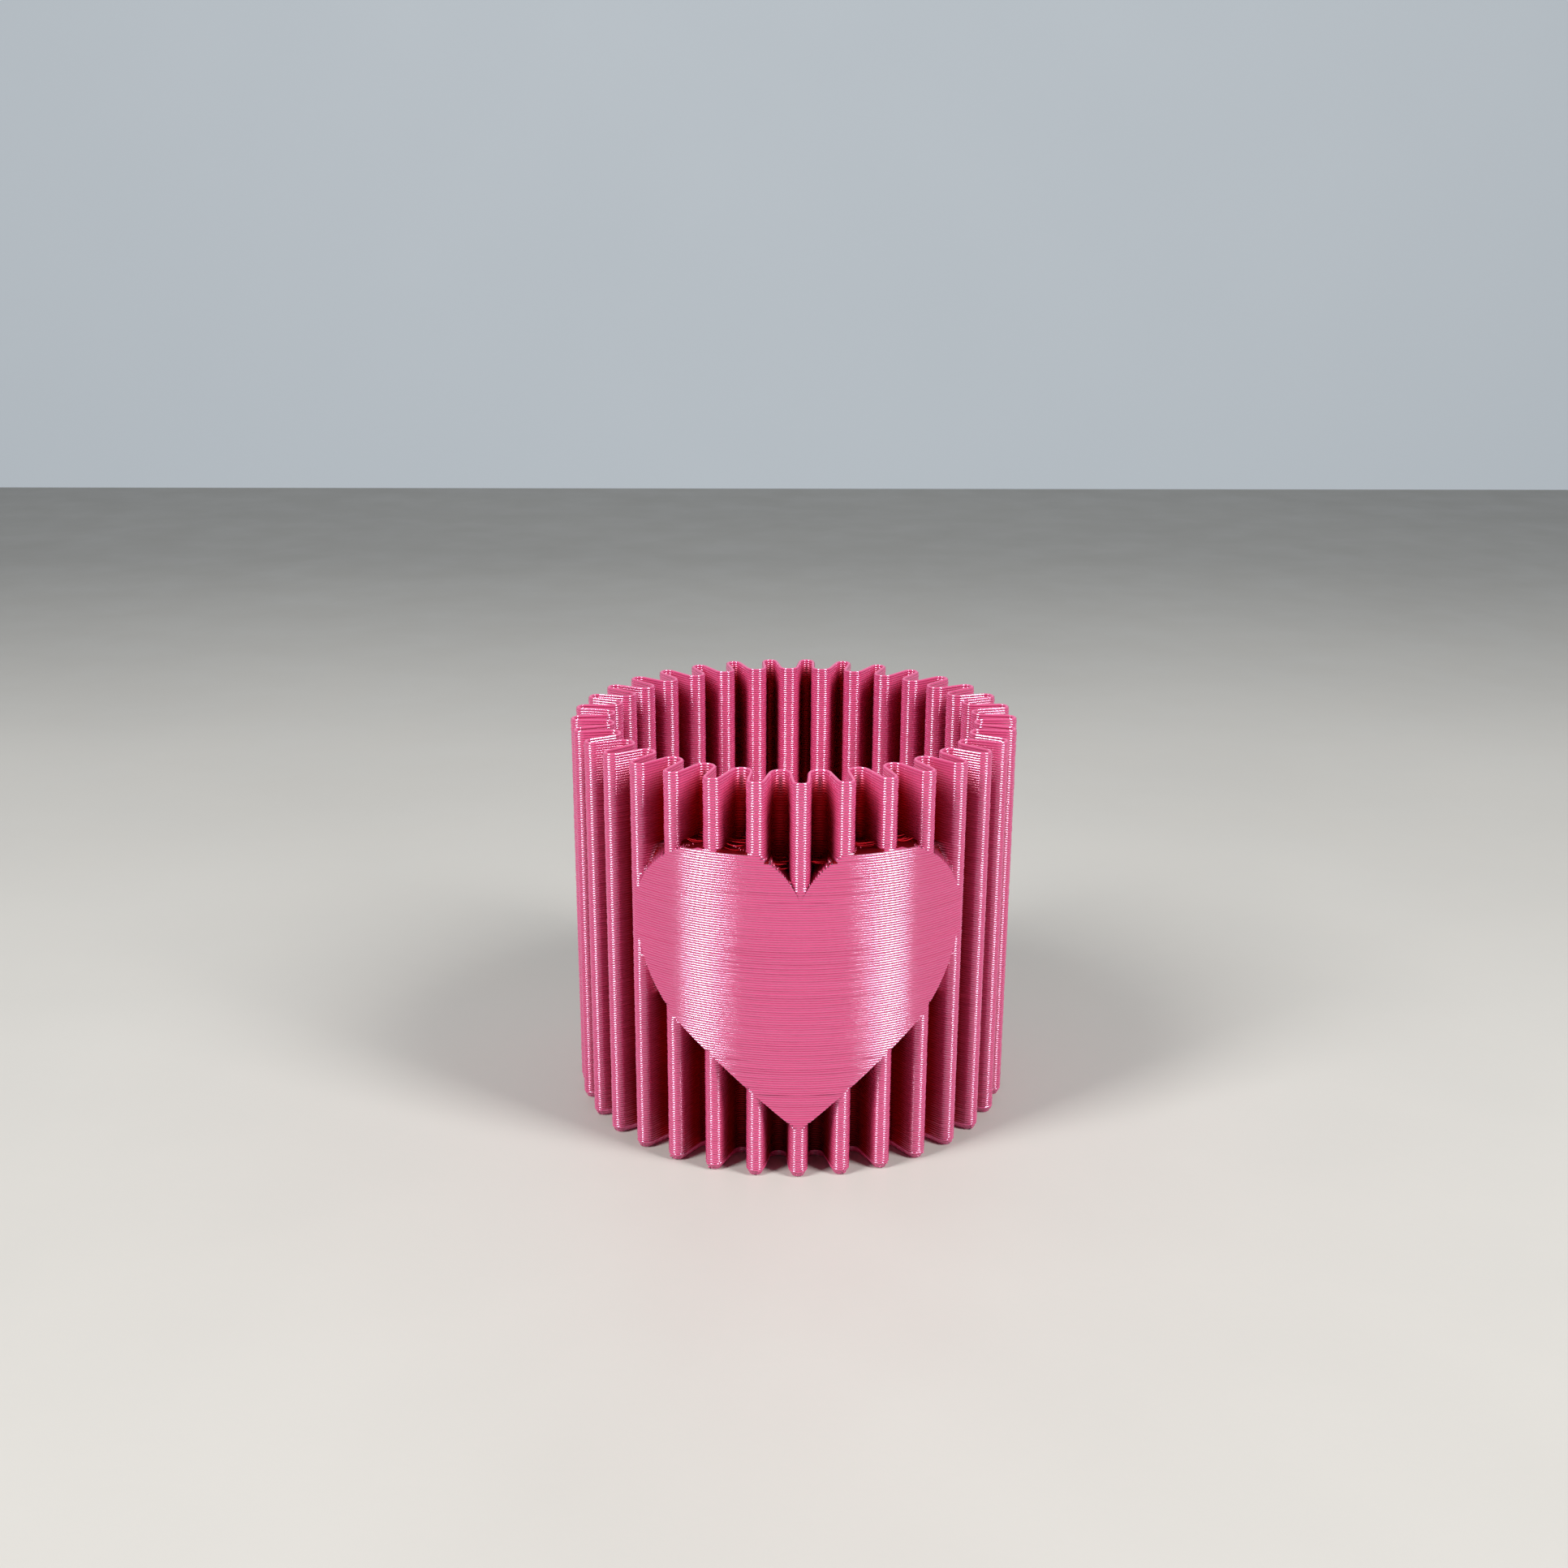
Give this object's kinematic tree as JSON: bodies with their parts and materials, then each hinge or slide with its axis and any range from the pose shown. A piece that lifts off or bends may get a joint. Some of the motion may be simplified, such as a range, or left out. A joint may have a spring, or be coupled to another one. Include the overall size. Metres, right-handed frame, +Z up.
{
  "type": "pleated tea-light lantern",
  "caption": "Small round printed lantern with a pleated wall and a raised heart on the front, holding an LED tea light that lifts out.",
  "frame": {"origin": "middle of the lantern's underside, on the surface that it stands on", "axes": "+Z up along the lantern's axis, -Y towards the heart on the front, +X to the right seen from the front"},
  "size_m": [0.05, 0.0499, 0.0445],
  "materials": {
    "silk_print": "silk sheen, printed layers",
    "wax_white": "satin",
    "frosted_flame": "frosted translucent",
    "led_lens": "clear, tinted",
    "tinned_wire": "tinned",
    "base_white": "moulded",
    "cell_steel": "brushed",
    "contact_brass": "stamped",
    "switch_black": "fine grain",
    "screw_steel": "zinc plated"
  },
  "bodies": {
    "shade": {"base_plate": "silk_print", "pleated_wall": "silk_print", "heart_panel": "silk_print"},
    "tealight": {"candle_cup": "wax_white", "flame_tip": "frosted_flame", "led_bulb": "led_lens", "led_leads": "tinned_wire", "chassis": "base_white", "coin_cell": "cell_steel", "negative_contact": "contact_brass", "positive_contact": "contact_brass", "anode_contact": "contact_brass", "battery_door": "base_white", "door_screw": "screw_steel"},
    "switch": {"switch_slider": "switch_black", "switch_wiper": "contact_brass"}
  },
  "joints": [
    {"name": "tealight_lift", "type": "slide", "parent": "shade", "child": "tealight", "axis": [0, 0, 1], "range_m": [0, 0.045]},
    {"name": "switch_slide", "type": "slide", "parent": "tealight", "child": "switch", "axis": [1, 0, 0], "range_m": [0, 0.002]}
  ]
}
